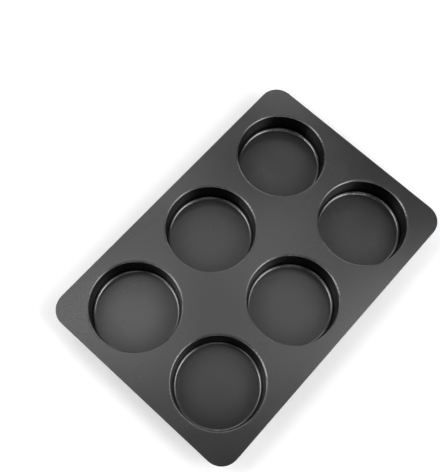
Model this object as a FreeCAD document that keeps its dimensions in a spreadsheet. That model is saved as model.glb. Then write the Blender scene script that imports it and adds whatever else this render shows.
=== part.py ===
import FreeCAD, Part

import math
import os

import Sketcher
from FreeCAD import Vector

# Hamburger bun pan: one pressed sheet of coated steel. Round wells with flat bottoms are
# drawn down from a flat rectangular plate, in a grid of rows and columns.
#
# Millimetres. +Z is up, +X runs along the long side of the plate. The origin is below the
# middle of the plate, in the plane of the well bottoms, on which the pan stands.

# Driving dimensions: name, value, what it measures
SIZES = [
    ("sheet_thickness", 0.8, "steel sheet with its coating, the same in plate, walls and bottoms"),
    ("well_count_long", 3, "wells along the long side"),
    ("well_count_wide", 2, "wells along the short side"),
    ("well_mouth_radius", 50, "where the wall's upper face, carried up, meets the plate's top face"),
    ("well_depth", 30, "from the plate's top face down to the upper face of a well's bottom"),
    ("wall_draft", 3.5, "degrees by which a well's wall leans outwards"),
    ("lip_bend_radius", 1.2, "inside of the bend from the plate into a well's wall, on the under face"),
    ("floor_bend_radius", 3, "inside of the bend from the wall into the bottom, on the upper face"),
    ("web_width", 21, "plate left between the mouths of two neighbouring wells"),
    ("rim_width", 16.5, "plate left between a well's mouth and the plate's edge"),
    ("plate_corner_radius", 21.3, "the plate's four corners, seen from above"),
    ("edge_round", 0.3, "rounding of the plate's cut edge under its coating"),
]

# What follows from the driving dimensions, as expressions for the features to be bound to
PITCH = "(2 * sizes.well_mouth_radius + sizes.web_width)"
GRID_LENGTH = f"((sizes.well_count_long - 1) * {PITCH})"
GRID_WIDTH = f"((sizes.well_count_wide - 1) * {PITCH})"
WELL_AND_RIMS = "(2 * sizes.well_mouth_radius + 2 * sizes.rim_width)"
PLATE_LENGTH = f"({GRID_LENGTH} + {WELL_AND_RIMS})"
PLATE_WIDTH = f"({GRID_WIDTH} + {WELL_AND_RIMS})"
PLATE_TOP = "(sizes.well_depth + sizes.sheet_thickness)"
DRAFT = "(sizes.wall_draft * 1 deg)"
LIP_TOP_RADIUS = "(sizes.lip_bend_radius + sizes.sheet_thickness)"
LIP_START = f"(sizes.well_mouth_radius + {LIP_TOP_RADIUS} * tan(45 deg - {DRAFT} / 2))"
OPENING_RADIUS = f"({LIP_START} + sizes.sheet_thickness)"
FIRST_WELL_X = f"(-{GRID_LENGTH} / 2)"
FIRST_WELL_Y = f"(-{GRID_WIDTH} / 2)"
EDGE_ROUND = "min(sizes.edge_round; 0.4 * sizes.sheet_thickness)"

# How a sketch's constraints name the ends of a curve, its own two axes and its origin
START, END, CENTRE = range(1, 4)
LEVEL_AXIS, UPRIGHT_AXIS = range(-1, -3, -1)
ORIGIN_POINT = (LEVEL_AXIS, START)


def make_sheet(document):
    """The spreadsheet that holds the driving dimensions."""
    sheet = document.addObject("Spreadsheet::Sheet", "sizes")
    for row, (name, size, meaning) in enumerate(SIZES, start=1):
        sheet.set(f"A{row}", name)
        sheet.set(f"B{row}", str(size))
        sheet.setAlias(f"B{row}", name)
        sheet.set(f"C{row}", meaning)
    document.recompute()
    return sheet


def number(sheet, expression):
    """What an expression comes to with the sheet's sizes. A sketch is first drawn with these."""
    return float(sheet.evalExpression(expression))


def origin_feature(body, role):
    """One of a body's own origin planes or axes."""
    return next(item for item in body.Origin.OriginFeatures if item.Role == role)


def add_sketch(body, name, plane, **offset):
    """An empty sketch on an origin plane, shifted by expressions for the offset's x, y and z."""
    sketch = body.newObject("Sketcher::SketchObject", name)
    sketch.AttachmentSupport = [(origin_feature(body, plane), "")]
    sketch.MapMode = "FlatFace"
    for axis, expression in offset.items():
        sketch.setExpression(f"AttachmentOffset.Base.{axis}", expression)
    return sketch


def constrain(sketch, *constraint):
    """A rule of a sketch that has no size."""
    sketch.addConstraint(Sketcher.Constraint(*constraint))


def bind(sketch, name, expression, *constraint):
    """A named dimension of a sketch, bound to an expression."""
    index = sketch.addConstraint(Sketcher.Constraint(*constraint))
    sketch.renameConstraint(index, name)
    sketch.setExpression(f"Constraints.{name}", expression)


def line(first, last):
    return Part.LineSegment(first, last)


def arc(centre, radius, first, last):
    """An anticlockwise arc between two angles in degrees."""
    circle = Part.Circle(centre, Vector(0, 0, 1), radius)
    return Part.ArcOfCircle(circle, math.radians(first), math.radians(last))


def draw_plate_outline(sketch, sheet):
    """A rectangle with rounded corners about the sketch's origin."""
    length = number(sheet, PLATE_LENGTH)
    width = number(sheet, PLATE_WIDTH)
    corner = number(sheet, "sizes.plate_corner_radius")
    x = length / 2
    y = width / 2
    bend_x = x - corner
    bend_y = y - corner
    outline = [
        line(Vector(-bend_x, -y), Vector(bend_x, -y)),
        arc(Vector(bend_x, -bend_y), corner, 270, 360),
        line(Vector(x, -bend_y), Vector(x, bend_y)),
        arc(Vector(bend_x, bend_y), corner, 0, 90),
        line(Vector(bend_x, y), Vector(-bend_x, y)),
        arc(Vector(-bend_x, bend_y), corner, 90, 180),
        line(Vector(-x, bend_y), Vector(-x, -bend_y)),
        arc(Vector(-bend_x, -bend_y), corner, 180, 270),
    ]
    sketch.addGeometry(outline)
    front, front_right, right, back_right, back, back_left, left, front_left = range(8)
    for index in range(8):
        constrain(sketch, "Tangent", index, END, (index + 1) % 8, START)
    for side in (front, back):
        constrain(sketch, "Horizontal", side)
    for side in (left, right):
        constrain(sketch, "Vertical", side)
    for other in (back_right, back_left, front_left):
        constrain(sketch, "Equal", front_right, other)
    constrain(sketch, "Symmetric", front_left, CENTRE, back_right, CENTRE, *ORIGIN_POINT)
    bind(sketch, "corner_radius", "sizes.plate_corner_radius", "Radius", front_right, corner)
    bind(sketch, "plate_length", PLATE_LENGTH, "DistanceX", left, START, right, START, length)
    bind(sketch, "plate_width", PLATE_WIDTH, "DistanceY", front, START, back, END, width)


def draw_well_section(sketch, sheet):
    """Half of the section through a well's axis: the sheet's upper face, then its under face."""
    thickness = number(sheet, "sizes.sheet_thickness")
    top = number(sheet, PLATE_TOP)
    mouth_radius = number(sheet, "sizes.well_mouth_radius")
    lip_radius = number(sheet, LIP_TOP_RADIUS)
    lip_start = number(sheet, LIP_START)
    opening = number(sheet, OPENING_RADIUS)
    floor_radius = number(sheet, "sizes.floor_bend_radius")
    lean = number(sheet, "sizes.wall_draft")
    draft = math.radians(lean)
    foot = mouth_radius - (top - thickness) * math.tan(draft)
    floor_end = foot - floor_radius * math.tan(math.pi / 4 - draft / 2)

    lip_centre = Vector(lip_start, top - lip_radius)
    floor_centre = Vector(floor_end, thickness + floor_radius)
    facing = Vector(-math.cos(draft), math.sin(draft))
    wall_low = floor_centre - facing * floor_radius
    wall_high = lip_centre + facing * lip_radius
    under = facing * -thickness
    section = [
        line(Vector(0, thickness), Vector(floor_end, thickness)),
        arc(floor_centre, floor_radius, 270, 360 - lean),
        line(wall_low, wall_high),
        arc(lip_centre, lip_radius, 90, 180 - lean),
        line(Vector(lip_start, top), Vector(opening, top)),
        line(Vector(opening, top), Vector(opening, top - thickness)),
        line(Vector(opening, top - thickness), Vector(lip_start, top - thickness)),
        arc(lip_centre, lip_radius - thickness, 90, 180 - lean),
        line(wall_high + under, wall_low + under),
        arc(floor_centre, floor_radius + thickness, 270, 360 - lean),
        line(Vector(floor_end, 0), Vector(0, 0)),
        line(Vector(0, 0), Vector(0, thickness)),
    ]
    sketch.addGeometry(section)
    floor, floor_bend, wall, lip, land, seam = range(6)
    land_under, lip_under, wall_under, floor_bend_under, floor_under, middle = range(6, 12)
    for joint in (
        (floor, END, floor_bend, START),
        (floor_bend, END, wall, START),
        (wall, END, lip, END),
        (lip, START, land, START),
        (land_under, END, lip_under, START),
        (lip_under, END, wall_under, START),
        (wall_under, END, floor_bend_under, END),
        (floor_bend_under, START, floor_under, START),
    ):
        constrain(sketch, "Tangent", *joint)
    for joint in (
        (land, END, seam, START),
        (seam, END, land_under, START),
        (floor_under, END, middle, START),
        (middle, END, floor, START),
        (middle, START, *ORIGIN_POINT),
        (lip, CENTRE, lip_under, CENTRE),
        (floor_bend, CENTRE, floor_bend_under, CENTRE),
    ):
        constrain(sketch, "Coincident", *joint)
    for level in (floor, land, land_under, floor_under):
        constrain(sketch, "Horizontal", level)
    for upright in (seam, middle):
        constrain(sketch, "Vertical", upright)
    constrain(sketch, "Parallel", wall, wall_under)

    mouth = sketch.addGeometry(Part.Point(Vector(mouth_radius, top)), True)
    constrain(sketch, "PointOnObject", mouth, START, wall)
    constrain(sketch, "PointOnObject", mouth, START, land)
    bind(sketch, "mouth_radius", "sizes.well_mouth_radius",
         "DistanceX", *ORIGIN_POINT, mouth, START, mouth_radius)
    bind(sketch, "opening_radius", OPENING_RADIUS,
         "DistanceX", *ORIGIN_POINT, seam, START, opening)
    bind(sketch, "plate_top", PLATE_TOP, "DistanceY", *ORIGIN_POINT, seam, START, top)
    bind(sketch, "thickness", "sizes.sheet_thickness",
         "DistanceY", middle, START, middle, END, thickness)
    bind(sketch, "draft", DRAFT, "Angle", wall, START, UPRIGHT_AXIS, START, draft)
    bind(sketch, "lip_bend", "sizes.lip_bend_radius", "Radius", lip_under, lip_radius - thickness)
    bind(sketch, "floor_bend", "sizes.floor_bend_radius", "Radius", floor_bend, floor_radius)


def level_edges(shape):
    """Names of the edges that lie level: a plate's upper and lower outlines."""
    return [
        f"Edge{index}"
        for index, edge in enumerate(shape.Edges, start=1)
        if edge.BoundBox.ZLength < edge.Length / 1000
    ]


def add_grid(body, feature, name):
    """The first well's feature, repeated for every well."""
    grid = body.newObject("PartDesign::LinearPattern", name)
    grid.Originals = [feature]
    grid.Direction = (origin_feature(body, "X_Axis"), [""])
    grid.Direction2 = (origin_feature(body, "Y_Axis"), [""])
    grid.setExpression("Length", GRID_LENGTH)
    grid.setExpression("Length2", GRID_WIDTH)
    grid.setExpression("Occurrences", "sizes.well_count_long")
    grid.setExpression("Occurrences2", "sizes.well_count_wide")
    body.Tip = grid
    body.Document.recompute()


def add_plate(body, sheet):
    """The flat plate, with its cut edge rounded above and below."""
    outline = add_sketch(body, "plate_outline", "XY_Plane", z="sizes.well_depth")
    draw_plate_outline(outline, sheet)
    plate = body.newObject("PartDesign::Pad", "plate")
    plate.Profile = outline
    plate.setExpression("Length", "sizes.sheet_thickness")
    body.Document.recompute()

    rounding = body.newObject("PartDesign::Fillet", "edge_rounding")
    rounding.Base = (plate, level_edges(plate.Shape))
    rounding.setExpression("Radius", EDGE_ROUND)
    body.Document.recompute()


def add_openings(body, sheet):
    """A round opening in the plate for each well."""
    circle = add_sketch(body, "opening_circle", "XY_Plane", x=FIRST_WELL_X, y=FIRST_WELL_Y, z=PLATE_TOP)
    radius = number(sheet, OPENING_RADIUS)
    outline = circle.addGeometry(Part.Circle(Vector(0, 0), Vector(0, 0, 1), radius))
    constrain(circle, "Coincident", outline, CENTRE, *ORIGIN_POINT)
    bind(circle, "opening_radius", OPENING_RADIUS, "Radius", outline, radius)
    opening = body.newObject("PartDesign::Pocket", "opening")
    opening.Profile = circle
    opening.Type = "ThroughAll"
    body.Document.recompute()
    add_grid(body, opening, "openings")


def add_wells(body, sheet):
    """The drawn wells, from the openings' edges down: bend, wall, bend and flat bottom."""
    # The upright sketch faces -Y, so its offset along its own normal is the first well's -y
    section = add_sketch(body, "well_section", "XZ_Plane", x=FIRST_WELL_X, z=f"-{FIRST_WELL_Y}")
    draw_well_section(section, sheet)
    body.Document.recompute()
    well = body.newObject("PartDesign::Revolution", "well")
    well.Profile = section
    well.ReferenceAxis = (section, ["V_Axis"])
    well.Angle = 360
    body.Document.recompute()
    add_grid(body, well, "wells")


def make_pan(document, sheet):
    """The whole pan is one pressed sheet, so it is one solid."""
    body = document.addObject("PartDesign::Body", "pan")
    body.Label = "pan"
    add_plate(body, sheet)
    add_openings(body, sheet)
    add_wells(body, sheet)
    return body


def check(document, parts):
    """Stops the run if a feature failed, a sketch is loose or a part isn't one valid solid."""
    for item in document.Objects:
        if "Invalid" in item.State or "Error" in item.State:
            raise RuntimeError(f"{item.Name} failed: {item.State}")
        if item.isDerivedFrom("Sketcher::SketchObject") and not item.FullyConstrained:
            raise RuntimeError(f"{item.Name} isn't fully constrained")
    for part in parts:
        shape = part.Shape
        if shape.isNull() or not shape.isValid() or len(shape.Solids) != 1:
            raise RuntimeError(f"{part.Label} isn't one valid solid")


bun_pan = FreeCAD.newDocument("bun_pan")
driving_sizes = make_sheet(bun_pan)
all_parts = [make_pan(bun_pan, driving_sizes)]
bun_pan.recompute()
check(bun_pan, all_parts)

os.makedirs("parts", exist_ok=True)
for part in all_parts:
    part.Shape.exportStep(f"parts/{part.Label}.step")
    box = part.Shape.optimalBoundingBox(True, False)
    print(f"{part.Label}: {box.XLength:.2f} x {box.YLength:.2f} x {box.ZLength:.2f} mm,",
          f"{part.Shape.Volume / 1000:.2f} cm3, {len(part.Shape.Faces)} faces")
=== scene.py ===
import math

import bpy
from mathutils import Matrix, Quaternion, Vector


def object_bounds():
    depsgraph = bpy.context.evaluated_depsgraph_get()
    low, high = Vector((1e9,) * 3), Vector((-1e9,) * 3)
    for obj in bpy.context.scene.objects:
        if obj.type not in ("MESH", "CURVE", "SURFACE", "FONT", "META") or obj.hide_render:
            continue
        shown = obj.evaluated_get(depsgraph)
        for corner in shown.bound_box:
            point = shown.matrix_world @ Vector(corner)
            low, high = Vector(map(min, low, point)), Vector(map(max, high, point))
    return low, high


# Looks of the hamburger bun pan: a dark satin non-stick coating on the pressed sheet, softboxes
# round and over it, and a white floor. Metres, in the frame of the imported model.

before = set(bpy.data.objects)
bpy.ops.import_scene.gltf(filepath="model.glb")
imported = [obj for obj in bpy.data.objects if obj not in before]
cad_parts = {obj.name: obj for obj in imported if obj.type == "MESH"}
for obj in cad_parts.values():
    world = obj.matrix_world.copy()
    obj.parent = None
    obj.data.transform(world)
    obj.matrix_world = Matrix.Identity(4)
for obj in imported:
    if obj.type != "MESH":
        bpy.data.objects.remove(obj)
cad_low, cad_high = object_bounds()
PLATE_TOP = cad_high.z

# The camera, fitted to the photograph: where it stands, the point of the plate in the middle
# of the picture, how far it is turned about its own axis, and its lens
CAMERA_PLACE = Vector((-0.2287, -0.1253, PLATE_TOP + 0.8559))
CAMERA_TARGET = Vector((0.0003, 0.0467, PLATE_TOP))
CAMERA_ROLL = math.radians(5.43)
CAMERA_LENS = 61.9

# Softboxes round the pan: name, azimuth, elevation, width and height in degrees as seen from
# the pan, and how bright the cloth is
SIDE_DISTANCE = 1.5
SIDE_SOFTBOXES = [
    ("right_upper_softbox", 285, 55, 26, 20, 6.5),
    ("right_upper_wing", 315, 55, 26, 20, 3.75),
    ("right_softbox", 290, 38, 34, 22, 2.75),
    ("right_near_strip", 270, 24, 30, 14, 3.75),
    ("left_upper_softbox", 135, 55, 26, 20, 5.75),
    ("left_upper_wing", 105, 55, 26, 20, 2.0),
    ("left_softbox", 135, 38, 34, 22, 2.5),
    ("left_low_strip", 165, 18, 50, 20, 2.5),
    ("back_softbox", 60, 36, 40, 20, 2.0),
    ("back_right_strip", 10, 16, 40, 20, 2.75),
    ("front_strip", 225, 24, 30, 14, 1.5),
]
# Square panels that hang level over the pan, on a grid: how many squares along and across from
# the one over its middle, how many squares wide, and how bright the cloth is
CEILING_HEIGHT = 1.5
SQUARE_SIDE = 0.21
CEILING_PANELS = [
    (0, 1, 1, 0.75),
    (0, 2, 1, 2.0),
    (1, 0, 1, 1.0),
    (1, 2, 1, 0.75),
    (2, -1, 1, 1.75),
    (2, 1, 1, 1.25),
    (2, 3, 1, 1.75),
    (3, -1, 1, 1.5),
    (3, 1, 1, 0.75),
    (5, 3, 2, 1.25),
]
# The studio's walls are white near the floor, and fade into a dim room at this sine of the
# elevation
WALL_LIGHT = 1.0
SKY_LIGHT = 0.02
WALL_TOP = 0.34

# Middles of neighbouring wells lie this far apart, the same along and across
WELL_PITCH = 0.121
# The upward parts of the surface's normal between which a wall fades out, and between which
# level ground fades in, and the shares of the pan's height between which a bottom fades out
STEEP_ENDS = (0.10, 0.35)
FLAT_ENDS = (0.95, 0.99)
BOTTOM_ENDS = (0.04, 0.08)
# A bottom is palest within the first distance from its middle, and darkens with painted shade
# up to the second
BOTTOM_RADII = (0.020, 0.0435)
# The coating's tone on the plate, a near-black painted shade on the walls, and on a bottom at
# those two distances, where the darkening towards the wall is painted shade
PLATE_TONE = 0.0145
WALL_SHADE_TONE = 0.001
BOTTOM_SHADED_TONES = (0.031, 0.022)
# Its sheen on a bottom at those two distances, and on a wall at two shares of the pan's
# height, where the plate's is one: both are painted shade, a bottom's sheen falling towards its
# wall, and the walls matt and black low down, with a little sheen near the lip
BOTTOM_SHADED_SHEENS = (0.80, 0.56)
WALL_HEIGHTS = (0.2, 0.6)
WALL_SHADED_SHEENS = (0.0, 0.08)
COATING_IOR = 1.73
# Lumps a metre, and layers of detail, of the clouds where the spray lies thicker, the flecks
# of filler, the marks of the drawing and the orange peel
CLOUDS = (22, 3)
FLECKS = (2600, 1)
DRAWING_MARKS = (600, 2)
PEEL = (1100, 2)
# The marks of the drawing are stretched down the wall
MARK_STRETCH = (1, 1, 0.04)
# What clouds, flecks and marks do to tone and roughness as their noise rises between these
# ends, and how strong and deep the peel and the marks are as relief
NOISE_ENDS = (0.3, 0.7)
CLOUD_TONES = (0.95, 1.0)
FLECK_TONES = (0.85, 1.0)
CLOUD_ROUGHNESS = (0.24, 0.28)
MARK_ROUGHNESS = (0.0, 0.1)
RELIEF_STRENGTH = 0.04
RELIEF_DEPTH = 0.0001

# The floor lies a hair below the wells' bottoms, so that the two never share a plane
FLOOR_GAP = 0.0002
FLOOR_SIZE = 8
FLOOR_WHITE = (0.92, 0.92, 0.92, 1)
FLOOR_ROUGHNESS = 0.9
# It glows faintly round the pan, where its shadow shows, and brightly far from it
GLOW_DISTANCES = (0.3, 1.0)
GLOWS = (0.25, 0.9)


def feed(tree, socket, value):
    """Sets a socket to a value, or links it to another socket."""
    if isinstance(value, bpy.types.NodeSocket):
        tree.links.new(value, socket)
    else:
        socket.default_value = value


def add_node(tree, kind, *values, **settings):
    """A shader node with its settings, and its inputs fed in their order."""
    node = tree.nodes.new(kind)
    for name, value in settings.items():
        setattr(node, name, value)
    for socket, value in zip(node.inputs, values):
        feed(tree, socket, value)
    return node


def maths(tree, operation, *values):
    """A sum, product or comparison of numbers."""
    return add_node(tree, "ShaderNodeMath", *values, operation=operation).outputs["Value"]


def vector_maths(tree, operation, *values):
    """The outputs of a sum, product or measure of vectors."""
    return add_node(tree, "ShaderNodeVectorMath", *values, operation=operation).outputs


def ramp(tree, value, ends, greys):
    """A grey that runs from the first to the second between the two ends of a value."""
    node = add_node(tree, "ShaderNodeValToRGB", value)
    for stop, end, grey in zip(node.color_ramp.elements, ends, greys):
        stop.position = end
        stop.color = (grey, grey, grey, 1)
    return node.outputs["Color"]


def blend(tree, mask, first, second):
    """The first number where the mask is nought, and the second where it is one."""
    node = add_node(tree, "ShaderNodeMix", mask)
    feed(tree, node.inputs["A"], first)
    feed(tree, node.inputs["B"], second)
    return node.outputs["Result"]


def noise(tree, place, scale, detail):
    """Cloudy noise about a half, at so many lumps a metre."""
    node = add_node(tree, "ShaderNodeTexNoise", place)
    node.inputs["Scale"].default_value = scale
    node.inputs["Detail"].default_value = detail
    return node.outputs["Fac"]


def upward(tree, vector):
    """The Z of a vector."""
    return add_node(tree, "ShaderNodeSeparateXYZ", vector).outputs["Z"]


def from_well_middle(tree, place):
    """A place as seen from the axis of the nearest well."""
    half = WELL_PITCH / 2
    well = vector_maths(tree, "WRAP", place, (half, WELL_PITCH, 1), (-half, 0, -1))["Vector"]
    return vector_maths(tree, "SUBTRACT", well, (0, half, 0))["Vector"]


def nonstick_coating():
    """A dark grey satin non-stick coating, with painted shade that makes the drawn walls matt and
    black and darkens the bottoms towards their walls.
    """
    material = bpy.data.materials.new("nonstick_coating")
    material.use_nodes = True
    tree = material.node_tree
    surface = tree.nodes["Principled BSDF"].inputs
    surface["IOR"].default_value = COATING_IOR
    surface["Specular IOR Level"].default_value = 1
    texture = add_node(tree, "ShaderNodeTexCoord").outputs
    place, normal = texture["Object"], texture["Normal"]
    from_axis = from_well_middle(tree, place)
    off_axis = vector_maths(tree, "LENGTH", from_axis)["Value"]
    height = maths(tree, "DIVIDE", upward(tree, place), PLATE_TOP)
    level = maths(tree, "ABSOLUTE", upward(tree, normal))

    # The insides of the wells' walls stand steep and face their well's axis
    outwards = vector_maths(tree, "DOT_PRODUCT", normal, from_axis)["Value"]
    inside = maths(tree, "LESS_THAN", outwards, 0)
    wall = maths(tree, "MULTIPLY", ramp(tree, level, STEEP_ENDS, (1, 0)), inside)
    # The wells' bottoms are level and low
    low = ramp(tree, height, BOTTOM_ENDS, (1, 0))
    bottom = maths(tree, "MULTIPLY", ramp(tree, level, FLAT_ENDS, (0, 1)), low)

    clouds = noise(tree, place, *CLOUDS)
    flecks = noise(tree, place, *FLECKS)
    down_the_wall = vector_maths(tree, "MULTIPLY", from_axis, MARK_STRETCH)["Vector"]
    marks = noise(tree, down_the_wall, *DRAWING_MARKS)
    peel = noise(tree, place, *PEEL)

    # Painted shade: a bottom's tone darkens towards its wall
    shaded_bottom_tone = ramp(tree, off_axis, BOTTOM_RADII, BOTTOM_SHADED_TONES)
    # Painted shade: the walls' tone is near black
    tone = blend(tree, bottom, blend(tree, wall, PLATE_TONE, WALL_SHADE_TONE), shaded_bottom_tone)
    cloudy_tone = maths(tree, "MULTIPLY", tone, ramp(tree, clouds, NOISE_ENDS, CLOUD_TONES))
    fleck_tone = ramp(tree, flecks, NOISE_ENDS, FLECK_TONES)
    feed(tree, surface["Base Color"], maths(tree, "MULTIPLY", cloudy_tone, fleck_tone))

    # Painted shade: the walls lose their sheen low down, keeping a little near the lip
    shaded_wall_sheen = ramp(tree, height, WALL_HEIGHTS, WALL_SHADED_SHEENS)
    # Painted shade: a bottom's sheen falls towards its wall
    shaded_bottom_sheen = ramp(tree, off_axis, BOTTOM_RADII, BOTTOM_SHADED_SHEENS)
    sheen = blend(tree, bottom, blend(tree, wall, 1, shaded_wall_sheen), shaded_bottom_sheen)
    feed(tree, surface["Specular IOR Level"], sheen)

    streaks = maths(tree, "MULTIPLY", wall, ramp(tree, marks, NOISE_ENDS, MARK_ROUGHNESS))
    satin = ramp(tree, clouds, NOISE_ENDS, CLOUD_ROUGHNESS)
    feed(tree, surface["Roughness"], maths(tree, "ADD", satin, streaks))

    relief = add_node(tree, "ShaderNodeBump")
    relief.inputs["Strength"].default_value = RELIEF_STRENGTH
    relief.inputs["Distance"].default_value = RELIEF_DEPTH
    lumps = maths(tree, "ADD", peel, maths(tree, "MULTIPLY", wall, marks))
    feed(tree, relief.inputs["Height"], lumps)
    feed(tree, surface["Normal"], relief.outputs["Normal"])
    return material


def white_floor():
    """A white floor: it keeps the pan's shadow, glows far from it, and is clear from below."""
    material = bpy.data.materials.new("studio_floor")
    material.use_nodes = True
    tree = material.node_tree
    principled = tree.nodes["Principled BSDF"]
    surface = principled.inputs
    surface["Base Color"].default_value = FLOOR_WHITE
    surface["Roughness"].default_value = FLOOR_ROUGHNESS
    surface["Specular IOR Level"].default_value = 0
    surface["Emission Color"].default_value = (1, 1, 1, 1)

    # The camera, reflections and glass see the glow, and matt surfaces aren't lit by it
    place = add_node(tree, "ShaderNodeTexCoord").outputs["Object"]
    glow = ramp(tree, vector_maths(tree, "LENGTH", place)["Value"], GLOW_DISTANCES, GLOWS)
    path = add_node(tree, "ShaderNodeLightPath").outputs
    mirrored = maths(tree, "ADD", path["Is Glossy Ray"], path["Is Transmission Ray"])
    seen = maths(tree, "ADD", path["Is Camera Ray"], mirrored)
    feed(tree, surface["Emission Strength"], maths(tree, "MULTIPLY", seen, glow))

    from_below = add_node(tree, "ShaderNodeNewGeometry").outputs["Backfacing"]
    clear = add_node(tree, "ShaderNodeBsdfTransparent").outputs["BSDF"]
    two_sides = add_node(tree, "ShaderNodeMixShader", from_below, principled.outputs["BSDF"], clear)
    feed(tree, tree.nodes["Material Output"].inputs["Surface"], two_sides.outputs["Shader"])
    return material


def add_floor():
    bpy.ops.mesh.primitive_plane_add(size=FLOOR_SIZE, location=(0, 0, -FLOOR_GAP))
    floor = bpy.context.object
    floor.name = "floor"
    floor.data.materials.append(white_floor())


def add_softbox(name, location, rotation, width, height, brightness):
    """A rectangular lamp whose cloth has the given brightness."""
    data = bpy.data.lights.new(name, "AREA")
    data.shape = "RECTANGLE"
    data.size = width
    data.size_y = height
    data.energy = brightness * math.pi * width * height
    lamp = bpy.data.objects.new(name, data)
    bpy.context.scene.collection.objects.link(lamp)
    lamp.location = location
    lamp.rotation_mode = "QUATERNION"
    lamp.rotation_quaternion = rotation
    lamp.visible_camera = False


def add_side_softbox(name, azimuth, elevation, wide, high, brightness):
    """A softbox that stands beside the pan and faces it."""
    around, up = math.radians(azimuth), math.radians(elevation)
    towards = Vector((math.cos(up) * math.cos(around), math.cos(up) * math.sin(around), math.sin(up)))
    width = 2 * SIDE_DISTANCE * math.tan(math.radians(wide / 2)) * math.cos(up)
    height = 2 * SIDE_DISTANCE * math.tan(math.radians(high / 2))
    facing = towards.to_track_quat("Z", "Y")
    add_softbox(name, SIDE_DISTANCE * towards, facing, width, height, brightness)


def add_ceiling_panel(along, across, wide, brightness):
    """A softbox that hangs level over the pan."""
    location = (along * SQUARE_SIDE, across * SQUARE_SIDE, CEILING_HEIGHT)
    side = wide * SQUARE_SIDE
    add_softbox("ceiling_panel", location, Quaternion(), side, side, brightness)


def add_world():
    """White walls all round up to a low edge, and a dim room above them."""
    world = bpy.data.worlds.new("studio")
    world.use_nodes = True
    bpy.context.scene.world = world
    tree = world.node_tree
    direction = add_node(tree, "ShaderNodeTexCoord").outputs["Generated"]
    room = ramp(tree, upward(tree, direction), (0, WALL_TOP), (WALL_LIGHT, SKY_LIGHT))
    feed(tree, tree.nodes["Background"].inputs["Color"], room)


def add_camera():
    data = bpy.data.cameras.new("camera")
    data.lens = CAMERA_LENS
    camera = bpy.data.objects.new("camera", data)
    bpy.context.scene.collection.objects.link(camera)
    unrolled = (CAMERA_TARGET - CAMERA_PLACE).to_track_quat("-Z", "Y")
    camera.location = CAMERA_PLACE
    camera.rotation_mode = "QUATERNION"
    camera.rotation_quaternion = unrolled @ Quaternion((0, 0, 1), CAMERA_ROLL)
    bpy.context.scene.camera = camera


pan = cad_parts["pan"]
pan.data.materials.clear()
pan.data.materials.append(nonstick_coating())
add_camera()
add_floor()
for softbox in SIDE_SOFTBOXES:
    add_side_softbox(*softbox)
for panel in CEILING_PANELS:
    add_ceiling_panel(*panel)
add_world()
bpy.context.scene.view_settings.view_transform = "Standard"
